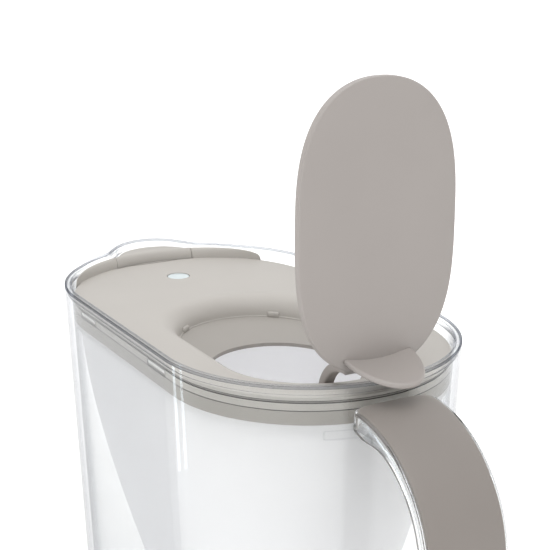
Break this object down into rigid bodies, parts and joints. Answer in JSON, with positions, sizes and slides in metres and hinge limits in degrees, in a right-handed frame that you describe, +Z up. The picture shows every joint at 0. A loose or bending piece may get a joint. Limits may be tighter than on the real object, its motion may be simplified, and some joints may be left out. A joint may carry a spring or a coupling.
{
  "type": "water filter pitcher",
  "caption": "Slim hand-held water filter pitcher with spout, loop handle, lift-off lid with open fill flap, inner funnel and filter cartridge.",
  "frame": {"origin": "centre of the flat base, on the surface that the pitcher stands on", "axes": "+Z up along the jug, +X towards the spout, +Y to the side; the handle is at -X"},
  "size_m": [0.2282, 0.103, 0.3573],
  "materials": {
    "clear_plastic": "clear, polished",
    "greige_plastic": "fine matte",
    "frosted_plastic": "translucent, frosted",
    "pale_lens": "satin, translucent",
    "white_plastic": "fine matte",
    "steel": "plain",
    "board": "solder mask",
    "black_plastic": "moulded",
    "light_chip": "clear resin",
    "silicone": "soft matte",
    "felt": "fine non-woven",
    "granules": "granular"
  },
  "bodies": {
    "jug": {"jug_body": "clear_plastic", "handle_cover": "greige_plastic"},
    "hopper": {"hopper": "frosted_plastic"},
    "lid": {"lid_shell": "greige_plastic", "lid_liner": "greige_plastic", "flap_hinge_pin": "steel", "indicator_case": "white_plastic", "indicator_board": "board", "tact_switch": "black_plastic", "light_chips": "light_chip", "coin_cell": "steel", "battery_clip": "steel", "case_seal": "silicone", "battery_cover": "white_plastic"},
    "flap": {"fill_flap": "greige_plastic"},
    "pour_cover": {"spout_cover": "greige_plastic"},
    "button": {"indicator_button": "pale_lens"},
    "cartridge": {"cartridge_body": "white_plastic", "cartridge_cap": "white_plastic", "cartridge_seal": "silicone", "top_screen": "felt", "bottom_screen": "felt", "filter_media": "granules"}
  },
  "joints": [
    {"name": "hopper_lift", "type": "slide", "parent": "jug", "child": "hopper", "axis": [0, 0, 1], "range_m": [0, 0.13]},
    {"name": "lid_lift", "type": "slide", "parent": "hopper", "child": "lid", "axis": [0, 0, 1], "range_m": [0, 0.06]},
    {"name": "flap_hinge", "type": "hinge", "parent": "lid", "child": "flap", "pos_m": [-0.07896, 0, 0.2566], "axis": [0, 1, 0], "range_deg": [0, 90]},
    {"name": "pour_cover_hinge", "type": "hinge", "parent": "lid", "child": "pour_cover", "pos_m": [0.08196, 0, 0.2626], "axis": [0, 1, 0], "range_deg": [-50, 0]},
    {"name": "button_press", "type": "slide", "parent": "lid", "child": "button", "axis": [0, 0, -1], "range_m": [0, 0.0005], "stiffness_N_per_m": 300},
    {"name": "cartridge_lift", "type": "slide", "parent": "hopper", "child": "cartridge", "axis": [0, 0, 1], "range_m": [0, 0.045]}
  ]
}
